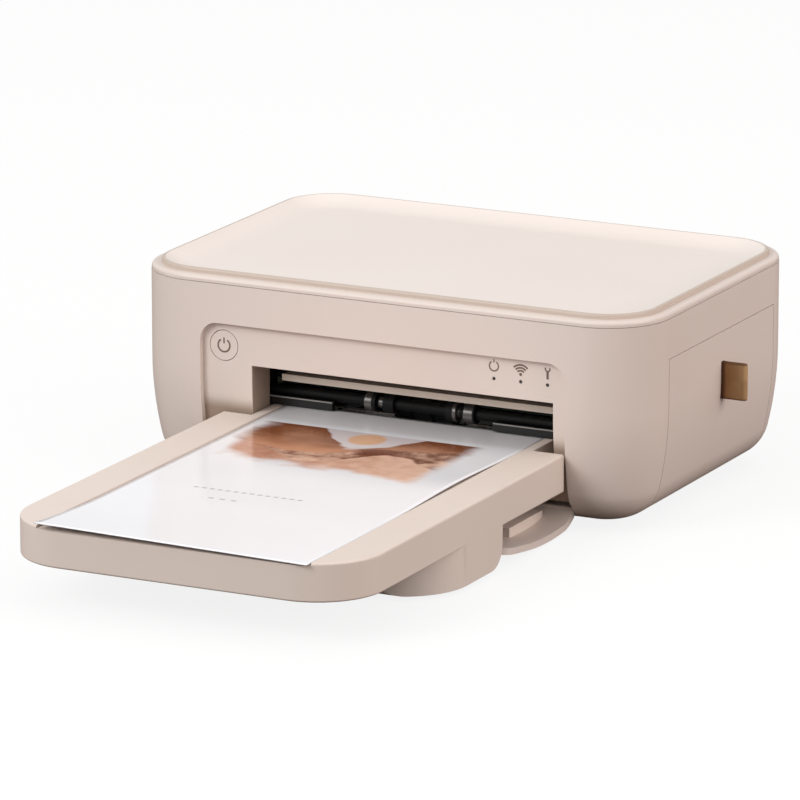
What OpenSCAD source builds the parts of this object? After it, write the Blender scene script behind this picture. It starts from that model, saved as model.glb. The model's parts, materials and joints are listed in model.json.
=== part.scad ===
// Compact photo printer: a soft-cornered moulded shell with a dished top cover, a drop-down
// front cover, a side door for the ribbon, and a paper cassette that slides in at the front.
// Millimetres. +X right, +Y back, +Z up; the origin is on the table under the shell's centre.

/* [Shell] */
// Width of the shell, side to side
body_w = 196; // [190:1:215]
// Depth of the shell, front to back
body_d = 134; // [132:1:150]
// Height of the seam under the top cover
seam_z = 73.9; // [73.5:0.1:78]
// Height of the shell's underside above the table
floor_z = 3; // [2.6:0.1:3.6]
// Wall of the moulded shell
wall = 2.3; // [2:0.1:2.6]
// Plan radius of the vertical corners
corner_r = 22.7; // [22.4:0.1:28]
// Height of the slow curve by which the lower wall draws in
belly_rise = 25.65; // [22.5:0.45:27]
// Radius of the rounded bottom edge
heel_r = 15; // [13:0.5:16]
// Clear gap around covers, doors and inserted panels
seam_gap = 0.25; // [0.15:0.05:0.4]

/* [Top cover] */
// Height of the ledge outside the raised rim, above the seam
ledge_up = 2.3; // [2:0.1:3]
// Height of the raised rim above the seam
rim_up = 4; // [3.6:0.1:4.4]
// Distance of the rim from the shell's side
rim_in = 3.7; // [3:0.1:5]
// Width of the rim's crest
rim_w = 1.5; // [1.2:0.1:2]
// Height of the dish floor above the seam
dish_up = 0.6; // [0.4:0.1:1]
// Rounding of the ledge's outer edge
ledge_r = 1.4; // [0.5:0.1:1.7]
// Thickness of the cover's floor
lid_t = 2.2; // [1.6:0.1:2.4]
// Seam left between the cover and the shell
lid_gap = 0.2; // [0.1:0.05:0.3]

/* [Front recess and panel] */
// Half width of the recess that the front cover closes
recess_hw = 69.8; // [68.5:0.1:70.5]
// Height of the recess's top edge
recess_z = 60; // [58:0.5:62]
// Radius of the recess's top corners
recess_r = 6.5; // [3:0.5:9]
// Thickness of the front panel
panel_t = 2.2; // [1.8:0.1:2.4]
// Left end of the output slot
slot_x0 = -50.9; // [-51.5:0.1:-50.7]
// Right end of the output slot
slot_x1 = 64.5; // [64.2:0.1:65.5]
// Top of the output slot
slot_z1 = 45.6; // [44.5:0.1:46.5]
// Bottom of the cassette port below the slot
port_z0 = 12; // [11:0.25:13]
// Depth of the slot's moulded sides
tunnel_d = 13.4; // [10:0.2:13.6]

/* [Controls] */
// Power button centre, distance left of the shell's centre
button_x = 61.7; // [60:0.1:62.5]
// Height of the row of controls
control_z = 51.7; // [51.2:0.1:52.5]
// Diameter of the power button
button_d = 10.6; // [8:0.1:11]
// Travel of the power button
button_travel = 0.6; // [0.3:0.1:0.8]
// First status light, distance right of the shell's centre
light_x = 42.2; // [38:0.1:44]
// Pitch of the status lights
light_pitch = 10.1; // [8:0.1:10.4]
// Diameter of the status lights
light_d = 1.2; // [1:0.1:2]

/* [Side door] */
// Front edge of the door, behind the shell's front
door_y0 = 23.7; // [23:0.1:28]
// Rear edge of the door, behind the shell's front
door_y1 = 111.5; // [106:0.5:112]
// Top edge of the door
door_z1 = 59.8; // [58.8:0.1:61]
// Distance of the pull tab behind the shell's front
tab_y = 68.4; // [60:0.1:75]
// Height of the pull tab's middle
tab_z = 42.6; // [34:0.2:44]
// Width of the pull tab's leather
tab_w = 13; // [9:0.5:16]
// Reach of the pull tab out of the door
tab_reach = 9.5; // [6:0.5:12]
// Thickness of the leather
leather_t = 1.3; // [1:0.1:1.5]

/* [Hinges] */
// Angle round the bottom edge at which the covers are hinged
hinge_turn = 54; // [52:0.5:56]
// Radius of the hinge pins
pin_r = 0.6; // [0.5:0.05:0.7]
// Angle between the front cover's closed and open positions
cover_open = 82.5; // [80:0.5:82.5]
// Clear gap round the covers' hinge barrels
hinge_gap = 0.5; // [0.45:0.05:0.6]

/* [Cassette] */
// Middle of the paper path, right of the shell's centre
mech_x = 4; // [3:0.1:4.4]
// Width of the wide outer part of the cassette
tray_w = 131; // [128:0.5:132]
// Reach of the cassette in front of the shell
tray_reach = 159; // [157:1:175]
// Height of the rails on top of the cassette
deck_z = 28.6; // [28.3:0.1:28.8]
// Height of the wide part's underside
tray_z0 = 15.3; // [14.6:0.1:15.6]
// Plan radius of the cassette's front corners
tray_r = 23.5; // [12:0.5:24]
// Rounding of the cassette's long edges
tray_edge = 0.8; // [0.6:0.1:3]
// Wall of the cassette
tray_wall = 2; // [1.6:0.1:2.4]
// Width of the shallow channel between the rails
channel_w = 101; // [100.6:0.1:102]
// Depth of the channel below the rails
channel_d = 0.9; // [0.7:0.1:1]
// Front of the foot block, ahead of the shell
foot_y1 = 98; // [92:1:104]
// Rear of the foot block, ahead of the shell
foot_y0 = 47; // [46:0.5:52]
// Gap between the foot block and the table
foot_gap = 1.6; // [1:0.1:2.4]

/* [Paper] */
// Width of a sheet
paper_w = 100; // [96:0.5:100]
// Length of a sheet with its tear-off ends
paper_l = 180; // [176:0.5:180]
// Height of the stack in the cassette
stack_h = 7; // [2:0.25:7]

/* [Rollers and gears] */
// Face width of the gears
gear_w = 4; // [3:0.25:4.5]
// Radius of the platen roller
platen_r = 7; // [6.5:0.1:7.1]
// Radius of the pickup tyre
pickup_r = 5.2; // [4.8:0.05:5.2]
// Radius of the exit tyres
exit_r = 3.5; // [3:0.05:3.5]
// Radius of the capstan roller
capstan_r = 4.5; // [4:0.05:4.5]
// Radius of the pinch roller
pinch_r = 2.5; // [2:0.05:2.6]
// Radius of the roller shafts
shaft_r = 2; // [1.75:0.05:2.1]
// Clearance of a shaft in its bush
run_gap = 0.05; // [0.03:0.01:0.08]
// Middle of the exit tyres, right of the shell's centre
exit_mid = 6; // [4:0.1:7]

/* [Chassis] */
// Distance between the two side plates
plate_gap = 120; // [119.8:0.1:120.2]
// Thickness of the side plates
plate_t = 1.5; // [1.2:0.1:1.6]
// Height of the steel base above the shell's floor
base_lift = 3.7; // [3.4:0.1:3.9]
// Thickness of the steel base
base_t = 1.2; // [1:0.1:1.5]
// Height of the circuit board above the steel base
board_lift = 3; // [2:0.25:4]
// Radius of the motor can
motor_r = 12; // [10:0.25:12]
// Length of the motor can
motor_l = 20; // [15:0.5:21]

/* [Ribbon] */
// Outer radius of the two ribbon housings
spool_case_r = 9; // [8.8:0.1:9.1]
// Wall of the ribbon cartridge
spool_wall = 1.2; // [1:0.1:1.4]
// Radius of the wound film on the take-up spool
takeup_film_r = 4.5; // [4:0.1:5.5]
// Radius of the wound film on the supply spool
supply_film_r = 6.5; // [5:0.1:7]
// Half width of the print head
head_hw = 51; // [50:0.25:51]
// Height that the head clears the platen
head_gap = 0.6; // [0.5:0.05:0.8]

/* [Hidden] */
$fn = 48;

beige = "#dfcfc2";
black = "#1b1a1a";
steel = "#b9bcc0";
rubber = "#2a2a2b";
white = "#efeae6";

front_y = -body_d / 2;
side_x = body_w / 2;
inner_z = floor_z + wall;
ledge_z = seam_z + ledge_up;
rim_z = seam_z + rim_up;
dish_z = seam_z + dish_up;

// The bottom edge's centre lies heel_in inside the outer face. The slow curve above it leaves the
// upright wall at belly_z and is tangent to it: their centres lie on a line that rises 9 and runs
// 40 in a length of 41, which keeps every centre and radius a short decimal.
heel_z = floor_z + heel_r;
curve_k = belly_rise / 9;
belly_r = heel_r + 41 * curve_k;
belly_z = heel_z + belly_rise;
heel_in = belly_r - 40 * curve_k;
function join_z(in) = round((heel_z - (heel_r - in) * 9 / 41) * 1000) / 1000;

// How far the outer face lies inside the widest outline at height z
function face_in(z) = z >= belly_z ? 0
    : z >= join_z(0) ? belly_r - sqrt(pow(belly_r, 2) - pow(belly_z - z, 2))
    : heel_in - sqrt(pow(heel_r, 2) - pow(heel_z - z, 2));

// Hinge axes sit in the middle of the wall, round the bottom edge
hinge_arm = heel_r - wall / 2;
hinge_in = heel_in - hinge_arm * cos(hinge_turn);
hinge_z = heel_z - hinge_arm * sin(hinge_turn);
knuckle_r = wall / 2 - 0.05;
cover_hinge = [front_y + hinge_in, hinge_z];
door_hinge = [side_x - hinge_in, hinge_z];
pin_l = 9;
pin_in = 4;
pin_clear = 0.06;

// Paper path and drive, each point [y, z]
gear_m = 0.6;
platen_t = 40;
idler_t = 24;
pickup_t = 14;
exit_t = 15;
capstan_t = 14;
takeup_t = 22;
pinion_t = 12;
function pitch_r(teeth) = gear_m * teeth / 2;
function away(c, r, a) = [c.x + r * cos(a), c.y + r * sin(a)];
// Point at distances ra and rb from a and b, on the left of the way from a to b
function meet(a, ra, b, rb) =
    let (d = norm(b - a), u = (b - a) / d, s = (ra * ra - rb * rb + d * d) / (2 * d),
         h = sqrt(ra * ra - s * s))
    a + s * u - h * [-u.y, u.x];
stack_gap = 0.3;
cover_t = 1.7;
cover_clear = 0.5;
stack_top = deck_z - channel_d - cover_t - cover_clear;
pickup_c = [front_y + 29.5, stack_top + pickup_r + stack_gap];
platen_c = [front_y + 59, deck_z + 13.4 - platen_r];
exit_c = away(pickup_c, pitch_r(pickup_t) + pitch_r(exit_t), 166.7);
capstan_c = away(platen_c, pitch_r(platen_t) + pitch_r(capstan_t), 8.9);
motor_c = away(platen_c, pitch_r(platen_t) + pitch_r(pinion_t), -50);
idler_c = meet(platen_c, pitch_r(platen_t) + pitch_r(idler_t),
    pickup_c, pitch_r(idler_t) + pitch_r(pickup_t));
takeup_c = away(idler_c, pitch_r(idler_t) + pitch_r(takeup_t), 110.5);
supply_c = [takeup_c.x + 54, takeup_c.y];
pinch_c = [capstan_c.x, capstan_c.y + capstan_r + stack_gap + pinch_r];
nip_z = platen_c.y + platen_r;

plate_x0 = mech_x - plate_gap / 2;
plate_x1 = mech_x + plate_gap / 2;
base_z = inner_z + base_lift;
base_top = base_z + base_t;
base_hx = 74;
base_hy = 43;
gear_x = plate_x0 - plate_t - 1 - gear_w;
bracket_x = gear_x - 0.9;
bracket_t = 1.5;

// ---------------------------------------------------------------- shared shapes

// Places children drawn along +Z at x0 with their plan in the YZ plane
module along_x(c, x0) translate([x0, c.x, c.y]) rotate([90, 0, 90]) children();

// Half profile, drawn as [r, z] from r = 0, carried round a rounded rectangle whose corner
// centres are at +-hx, +-hy; z0 and z1 are the profile's ends at r = 0
module carried_round(hx, hy, z0, z1) {
    for (k = [0:3])
        translate([k == 0 || k == 3 ? hx : -hx, k < 2 ? hy : -hy, 0])
            rotate([0, 0, 90 * k]) rotate_extrude(angle = 90) children();
    for (k = [0, 1]) {
        rotate([0, 0, 180 * k]) translate([0, hy, 0]) rotate([90, 0, 90])
            translate([0, 0, -hx]) linear_extrude(2 * hx) children();
        rotate([0, 0, 180 * k]) translate([hx, 0, 0]) rotate([90, 0, 0])
            translate([0, 0, -hy]) linear_extrude(2 * hy) children();
    }
    translate([-hx, -hy, z0]) cube([2 * hx, 2 * hy, z1 - z0]);
}

// Side profile of the shell, drawn in by "in" all round
module wall_profile(in, top) {
    x1 = corner_r - in;
    join = join_z(in);
    heel_x = corner_r - heel_in;
    translate([0, belly_z]) square([x1, top - belly_z]);
    intersection() {
        translate([corner_r - belly_r, belly_z]) circle(belly_r - in, $fn = 480);
        translate([0, join]) square([corner_r, belly_z - join]);
    }
    intersection() {
        translate([heel_x, heel_z]) circle(heel_r - in, $fn = 120);
        translate([heel_x, 0]) square([corner_r, join]);
    }
    translate([0, floor_z + in]) square([heel_x, join - floor_z - in]);
}

// The shell's whole form, drawn in by "in", up to height top
module shell_form(in, top) {
    carried_round(body_w / 2 - corner_r, body_d / 2 - corner_r, floor_z + in, top)
        wall_profile(in, top);
}

// A layer of the shell's wall between two depths
module shell_layer(in0, in1, top) {
    difference() {
        shell_form(in0, top);
        shell_form(in1, top + 1);
    }
}

// Upright panel outline with rounded top corners, centred on x = 0
module arch(hw, z0, z1, r) {
    translate([-hw, z0]) square([2 * hw, z1 - r - z0]);
    translate([-hw + r, z0]) square([2 * (hw - r), z1 - z0]);
    for (s = [-1, 1]) translate([s * (hw - r), z1 - r]) circle(r);
}

// Rounded rectangle about the origin
module rounded(hx, hy, r) {
    square([2 * hx, 2 * (hy - r)], center = true);
    square([2 * (hx - r), 2 * hy], center = true);
    for (sx = [-1, 1], sy = [-1, 1]) translate([sx * (hx - r), sy * (hy - r)]) circle(r);
}

// Involute gear with its first tooth at angle turn
pressure = 25;
backlash = 0.1;
function inv_deg(a) = tan(a) * 180 / PI - a;
// Turn from a tooth's flank at the pitch radius r to its flank at r_at; rb is the base circle
function flank(r, rb, r_at) = inv_deg(acos(rb / r)) - (r_at <= rb ? 0 : inv_deg(acos(rb / r_at)));
function tooth_side(teeth) =
    let (r = pitch_r(teeth), rb = r * cos(pressure), rr = r - 1.15 * gear_m, ro = r + 0.9 * gear_m,
         half = 90 / teeth - backlash / r * 90 / PI, r0 = max(rr, rb))
    concat([[rr, half + flank(r, rb, r0)]],
        [for (k = [0:3]) let (q = r0 + (ro - r0) * k / 3) [q, half + flank(r, rb, q)]]);
module gear(teeth, turn, bore_r) {
    side = tooth_side(teeth);
    last = len(side) - 1;
    pitch = 360 / teeth;
    rotate([0, 0, turn]) linear_extrude(gear_w) difference() {
        polygon([for (i = [0:teeth - 1]) each [
            for (k = [0:last]) away([0, 0], side[k].x, i * pitch - side[k].y),
            for (k = [last:-1:0]) away([0, 0], side[k].x, i * pitch + side[k].y)
        ]]);
        circle(bore_r);
    }
}
// Turn of a gear that meshes with one at turn0: toward is the way from the first to the second
function bearing(a, b) = atan2(b.y - a.y, b.x - a.x);
function mesh_turn(a, teeth_a, turn_a, b, teeth_b) =
    let (w = bearing(a, b)) w + 180 + 180 / teeth_b - (turn_a - w) * teeth_a / teeth_b;
idler_turn = mesh_turn(platen_c, platen_t, 0, idler_c, idler_t);
pickup_turn = mesh_turn(idler_c, idler_t, idler_turn, pickup_c, pickup_t);
exit_turn = mesh_turn(pickup_c, pickup_t, pickup_turn, exit_c, exit_t);
takeup_turn = mesh_turn(idler_c, idler_t, idler_turn, takeup_c, takeup_t);
capstan_turn = mesh_turn(platen_c, platen_t, 0, capstan_c, capstan_t);
pinion_turn = mesh_turn(platen_c, platen_t, 0, motor_c, pinion_t);

// ---------------------------------------------------------------- housing

pad_r = 4;
pad_x = 66;
pad_y = 34;
pad_at = [for (sx = [-1, 1], sy = [-1, 1]) [sx * pad_x, sy * pad_y]];
pad_screw_r = 1.3;
vent_n = 11;
vent_x = 18;
vent_z = 52;
vent_pitch = 5;
vent_w = 2.2;
vent_h = 13;
exit_slot_z = nip_z;
exit_slot_h = 5.6;
inlet_at = [-68, 24];
inlet_nose_r = 4.6;
inlet_nose_l = 3.7;
inlet_hw = 5.5;
inlet_bore_r = 2.75;
foot_r = 6;
foot_at = [68, 36];
foot_sink = 0.6;
// Size of the wedge cut away below each cover, so that its edge can turn past the axis
hinge_cut = 6;

module front_opening() {
    rotate([90, 0, 0]) translate([0, 0, -cover_hinge.x]) linear_extrude(body_d)
        arch(recess_hw, hinge_z, recess_z, recess_r);
    along_x(cover_hinge, -recess_hw) cylinder(r = knuckle_r + hinge_gap, h = 2 * recess_hw);
    cut_hw = recess_hw + 0.3;
    translate([-cut_hw, cover_hinge.x, hinge_z]) rotate([hinge_turn, 0, 0])
        translate([0, -hinge_cut, 0]) cube([2 * cut_hw, hinge_cut, hinge_cut]);
}

door_ya = front_y + door_y0;
door_yb = front_y + door_y1;
module door_opening() {
    door_l = door_yb - door_ya + 2 * seam_gap;
    translate([door_hinge.x, door_ya - seam_gap, hinge_z]) {
        cube([side_x, door_l, door_z1 - hinge_z + seam_gap]);
        rotate([-90, 0, 0]) cylinder(r = knuckle_r + hinge_gap, h = door_l);
        rotate([0, hinge_turn, 0]) cube([hinge_cut, door_l, hinge_cut]);
    }
}

module main_shell() {
    lug_r = 2.4;
    lug_l = 7;
    color(beige) difference() {
        union() {
            shell_layer(0, wall, seam_z);
            intersection() {
                shell_form(wall / 2, seam_z);
                union() {
                    for (p = pad_at) translate([p.x, p.y, floor_z])
                        cylinder(r = pad_r, h = base_z - floor_z);
                    for (s = [-1, 1]) along_x(cover_hinge, s * (recess_hw + lug_l / 2) - lug_l / 2)
                        cylinder(r = lug_r, h = lug_l);
                    for (y = [door_ya - lug_l - seam_gap, door_yb + seam_gap])
                        translate([door_hinge.x, y, hinge_z]) rotate([-90, 0, 0])
                            cylinder(r = lug_r, h = lug_l);
                    translate([inlet_at.x - 6, -front_y - 16, floor_z])
                        cube([12, 12, inlet_at.y - inlet_hw - floor_z]);
                }
            }
        }
        front_opening();
        door_opening();
        for (p = pad_at) translate([p.x, p.y, floor_z + 1]) cylinder(r = pad_screw_r, h = base_z);
        for (s = [-1, 1]) along_x(cover_hinge, s * (recess_hw + pin_l / 2 - pin_in) - pin_l / 2)
            cylinder(r = pin_r, h = pin_l);
        for (y = [door_ya - pin_l + pin_in, door_yb - pin_in])
            translate([door_hinge.x, y, hinge_z]) rotate([-90, 0, 0]) cylinder(r = pin_r, h = pin_l);
        translate([mech_x - 53, 0, exit_slot_z - exit_slot_h / 2]) cube([106, body_d, exit_slot_h]);
        for (k = [0:vent_n - 1]) translate([vent_x + k * vent_pitch, 0, vent_z])
            cube([vent_w, body_d, vent_h]);
        translate([inlet_at.x, 0, inlet_at.y]) rotate([-90, 0, 0])
            cylinder(r = inlet_nose_r + 0.4, h = body_d);
        for (sx = [-1, 1], sy = [-1, 1]) translate([sx * foot_at.x, sy * foot_at.y, 0])
            cylinder(r = foot_r + 0.1, h = floor_z + foot_sink);
    }
}

module cover_profile() {
    r1 = corner_r - 0.15;
    under_z = seam_z + lid_gap;
    translate([0, under_z]) square([r1 - ledge_r, ledge_z - under_z]);
    translate([0, under_z]) square([r1, ledge_z - ledge_r - under_z]);
    intersection() {
        translate([r1 - ledge_r, ledge_z - ledge_r]) circle(ledge_r);
        translate([0, under_z]) square([corner_r, ledge_z - under_z + 1]);
    }
    rim_x = corner_r - rim_in;
    crest = rim_w / 2;
    translate([0, ledge_z - 1]) square([rim_x, rim_z - crest - ledge_z + 1]);
    translate([rim_x - crest, rim_z - crest]) circle(crest);
    translate([0, ledge_z]) square([rim_x - crest, rim_z - ledge_z]);
    translate([0, dish_z - lid_t]) square([corner_r - wall - seam_gap, under_z + 0.5 - dish_z + lid_t]);
}
// The dish floor runs level to floor_x, then rises in a cove of radius 5 to a height of 1 in a
// reach of 3, where it meets the rim's crest
module dish_profile() {
    depth = rim_z - dish_z;
    x1 = corner_r - rim_in - rim_w;
    floor_x = x1 - 3 * depth;
    translate([0, dish_z]) square([floor_x, depth + 1]);
    intersection() {
        translate([floor_x, dish_z + 5 * depth]) circle(5 * depth, $fn = 180);
        translate([floor_x, dish_z - 1]) square([x1 - floor_x, depth + 2]);
    }
}
module top_cover() {
    hx = body_w / 2 - corner_r;
    hy = body_d / 2 - corner_r;
    color("#ece4de") difference() {
        carried_round(hx, hy, dish_z - lid_t, rim_z) cover_profile();
        carried_round(hx, hy, dish_z, rim_z + 1) dish_profile();
    }
}

// The panel lies against the inside of the shell's front wall and follows its curve
panel_in = wall + 0.1;
flange = 3;
panel_face = front_y + panel_in;
light_at = [for (k = [0:2]) light_x + k * light_pitch];
module front_panel() {
    tunnel_t = 1.8;
    panel_z0 = hinge_z + flange;
    color(beige) difference() {
        intersection() {
            shell_form(panel_in, seam_z);
            union() {
                difference() {
                    translate([-recess_hw - flange, front_y, panel_z0])
                        cube([2 * (recess_hw + flange), 25, recess_z + flange + 1 - panel_z0]);
                    shell_form(panel_in + panel_t, seam_z + 1);
                }
                translate([slot_x0 - tunnel_t, front_y, port_z0])
                    cube([slot_x1 - slot_x0 + 2 * tunnel_t, panel_in + tunnel_d,
                        slot_z1 + tunnel_t - port_z0]);
            }
        }
        translate([slot_x0, front_y - 5, port_z0]) cube([slot_x1 - slot_x0, 40, slot_z1 - port_z0]);
        translate([-button_x, front_y - 5, control_z]) rotate([-90, 0, 0])
            cylinder(r = button_d / 2 + seam_gap, h = 12);
        for (x = light_at) translate([x, front_y - 5, control_z]) rotate([-90, 0, 0])
            cylinder(r = light_d / 2 + 0.05, h = 12);
    }
}

module rubber_feet() {
    color(rubber) for (sx = [-1, 1], sy = [-1, 1]) translate([sx * foot_at.x, sy * foot_at.y, 0]) {
        cylinder(r1 = foot_r - 0.6, r2 = foot_r, h = 0.8);
        translate([0, 0, 0.8]) cylinder(r = foot_r, h = floor_z + foot_sink - 0.8);
    }
}

screw_head_r = 2.75;
screw_r = 1.25;
board_t = 1.6;
module pan_screw(l) {
    difference() {
        union() {
            cylinder(r = screw_head_r, h = 1.6);
            translate([0, 0, -l]) cylinder(r = screw_r, h = l);
        }
        for (a = [0, 90]) rotate([0, 0, a]) translate([-1.6, -0.3, 0.8]) cube([3.2, 0.6, 1]);
    }
}

board_at = [for (sx = [-1, 1], sy = [-1, 1]) [mech_x + sx * 51, 8 + sy * 29]];
module base_plate() {
    color(steel) difference() {
        union() {
            translate([0, 0, base_z]) linear_extrude(base_t) rounded(base_hx, base_hy, 6);
            for (p = board_at) translate([p.x, p.y, base_top]) cylinder(r = 2.5, h = board_lift);
        }
        for (p = pad_at) translate([p.x, p.y, 0]) cylinder(r = screw_r + 0.2, h = 40);
        for (p = board_at) translate([p.x, p.y, 0]) cylinder(r = screw_r, h = 40);
        for (x = [-40:16:40]) translate([x, 34, 0]) linear_extrude(40) rounded(5, 2.5, 2);
    }
}

module base_screws() {
    color("silver") {
        for (p = pad_at) translate([p.x, p.y, base_top]) pan_screw(base_lift + 1);
        for (p = board_at) translate([p.x, p.y, base_top + board_lift + board_t]) pan_screw(4);
    }
}

// ---------------------------------------------------------------- chassis

plate_y0 = front_y + 16.4;
plate_y1 = supply_c.x + 24;
plate_z1 = seam_z - 5.5;
bush_t = 1.5;
bush_l = 2.6;
platen_shaft_r = 3;
journal_r = 1.2;
spool_journal_r = 2.5;
// Shafts that turn in both plates: [centre, radius]
shafts = [[platen_c, platen_shaft_r], [pickup_c, shaft_r], [exit_c, shaft_r], [capstan_c, shaft_r],
    [pinch_c, journal_r]];
head_pivot_c = [supply_c.x + 10, plate_z1 - 5.6];
head_pivot_r = 1.5;
// The plates stand on the base between the screw pads and step over the screw heads
sole_y = pad_y - screw_head_r - 0.8;
step_z = base_top + 2.4;

module plate_outline() {
    polygon([[plate_y0, port_z0 + 12], [plate_y0 + 7, step_z], [-sole_y, step_z], [-sole_y, base_top],
        [sole_y, base_top], [sole_y, step_z], [base_hy, step_z], [plate_y1, base_top + 8],
        [plate_y1, plate_z1], [plate_y0 + 14, plate_z1], [plate_y0, slot_z1 + 3]]);
}
module plate_holes() {
    for (s = shafts) translate(s[0]) circle(s[1] + bush_t);
    translate(head_pivot_c) circle(head_pivot_r);
    translate([supply_c.x + 12, 28]) rounded(7, 6, 2);
}
module plate_foot(s) {
    foot_w = 5;
    foot_y = -12;
    translate([s > 0 ? plate_x1 + plate_t : plate_x0 - plate_t - foot_w, foot_y, base_top])
        cube([foot_w, sole_y - foot_y, plate_t]);
}
module left_chassis_plate() {
    color(steel) {
        difference() {
            union() {
                along_x([0, 0], plate_x0 - plate_t) linear_extrude(plate_t) plate_outline();
                plate_foot(-1);
            }
            along_x([0, 0], plate_x0 - 5) linear_extrude(10) {
                plate_holes();
                translate(takeup_c) circle(shaft_r + bush_t);
            }
        }
        along_x(idler_c, gear_x - 0.5) cylinder(r = shaft_r, h = plate_x0 - plate_t - gear_x + 0.5);
    }
}
module right_chassis_plate() {
    reach = spool_case_r + 1;
    color(steel) difference() {
        union() {
            along_x([0, 0], plate_x1) linear_extrude(plate_t) plate_outline();
            plate_foot(1);
        }
        along_x([0, 0], plate_x1 - 5) linear_extrude(20) {
            plate_holes();
            for (c = [takeup_c, supply_c]) translate(c) circle(reach);
            translate([takeup_c.x, takeup_c.y - 0.2]) square([supply_c.x - takeup_c.x, reach + 0.2]);
        }
    }
}

module bush(r) {
    difference() {
        union() {
            cylinder(r = r + bush_t, h = bush_l);
            translate([0, 0, plate_t]) cylinder(r = r + bush_t + 0.5, h = bush_l - plate_t);
        }
        translate([0, 0, -1]) cylinder(r = r + run_gap, h = bush_l + 2);
    }
}
module shaft_bushes() {
    color("#e9e5d8") {
        for (s = shafts) {
            along_x(s[0], plate_x0 - plate_t) bush(s[1]);
            along_x(s[0], plate_x1 + plate_t) mirror([0, 0, 1]) bush(s[1]);
        }
        along_x(takeup_c, plate_x0 - plate_t) bush(shaft_r);
    }
}

// Black moulding across the exit: a beam above the guide bar and two low blocks over the sheet
bar_y0 = front_y + 16.6;
bar_z0 = exit_c.y + exit_r + 1.2;
bar_h = 2.3;
block_z0 = deck_z + 0.4;
block_h = 2.9;
module exit_guide() {
    cheek = 3;
    cheek_y = bar_y0 - 0.6;
    block_y = exit_c.x - shaft_r - 0.4;
    rim_l = bush_l - plate_t;
    color(black) {
        difference() {
            union() {
                for (x = [plate_x0, plate_x1 - cheek])
                    translate([x, cheek_y, block_z0]) cube([cheek, 9.6, bar_z0 + bar_h + 3.5 - block_z0]);
                translate([plate_x0, bar_y0 + 5.4, bar_z0 + bar_h]) cube([plate_gap, 3.6, 3.5]);
                translate([plate_x0, bar_y0, block_z0]) cube([29, block_y - bar_y0, block_h]);
                translate([plate_x1 - 29, bar_y0, block_z0]) cube([29, block_y - bar_y0, block_h]);
            }
            along_x(exit_c, plate_x0 - 1) cylinder(r = shaft_r + 0.4, h = plate_gap + 2);
            // room for the bushes' rims
            for (c = [exit_c, pickup_c], x = [plate_x0 - 1, plate_x1 - rim_l - 0.3])
                along_x(c, x) cylinder(r = shaft_r + bush_t + 0.8, h = rim_l + 1.3);
        }
    }
}
module guide_bar() {
    x0 = plate_x0 + 9.5;
    color(beige) difference() {
        translate([x0, bar_y0, bar_z0]) cube([plate_x1 - 3.3 - x0, 8.4, bar_h]);
        translate([x0 - 1, bar_y0 + 2, bar_z0 - 1]) cube([plate_gap, 5, 2]);
    }
}
module paper_guide() {
    y0 = pickup_c.x + pickup_r + 1.5;
    y1 = platen_c.x - platen_r - 1.5;
    z0 = pickup_c.y + pickup_r - 0.4;
    z1 = nip_z - 1.8;
    color(black) along_x([0, 0], plate_x0 + 0.3) linear_extrude(plate_gap - 0.6)
        polygon([[y0, z0 - 1.2], [y0, z0], [y1, z1], [y1, z1 - 4], [y1 - 1.2, z1 - 4],
            [y1 - 1.2, z1 - 1.4]]);
}

// ---------------------------------------------------------------- controls and boards

board_y = panel_face + panel_t + 5.4;
module control_board() {
    color("#2f6b46") translate([-recess_hw + 1, board_y, slot_z1 + 3])
        cube([2 * recess_hw - 2, board_t, recess_z - slot_z1]);
    color("#3a3a3a") translate([-button_x, board_y, control_z]) rotate([90, 0, 0]) {
        translate([-3, -3, 0]) cube([6, 6, 2]);
        cylinder(r = 1.6, h = 2.6);
    }
    color(white) for (x = light_at) translate([x - 1.2, board_y - 0.8, control_z - 1])
        cube([2.4, 0.8, 2]);
}
module status_lenses() {
    color("#4a4543") {
        for (x = light_at) translate([x, panel_face + 0.15, control_z]) rotate([-90, 0, 0])
            cylinder(r = light_d / 2, h = panel_t + 1.5);
        translate([light_at[0] - 2, panel_face + panel_t + 0.5, control_z - 1.5])
            cube([light_at[2] - light_at[0] + 4, 1.5, 3]);
    }
}
module power_button() {
    flange_y = panel_t + 0.3;
    stem_y = board_y - 2.6 - button_travel - 0.1 - panel_face;
    color(beige) translate([-button_x, panel_face, control_z]) rotate([-90, 0, 0]) {
        cylinder(r = button_d / 2, h = flange_y + 1);
        translate([0, 0, flange_y]) cylinder(r = button_d / 2 + 1.2, h = 1);
        cylinder(r = 2, h = stem_y);
    }
}
module main_board() {
    z0 = base_top + board_lift;
    color("#2f6b46") difference() {
        translate([mech_x - 54, -24, z0]) cube([108, 64, board_t]);
        for (p = board_at) translate([p.x, p.y, 0]) cylinder(r = screw_r + 0.2, h = 40);
    }
    color(black) {
        translate([mech_x - 20, -6, z0 + board_t]) cube([16, 16, 1.4]);
        translate([mech_x + 12, 2, z0 + board_t]) cube([12, 9, 1.2]);
        for (x = [-40, -34, 34]) translate([mech_x + x, 26, z0 + board_t]) cylinder(r = 2.5, h = 7);
    }
    color(white) for (y = [-18, 14]) translate([mech_x - 46, y, z0 + board_t]) cube([5, 12, 5]);
}
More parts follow.
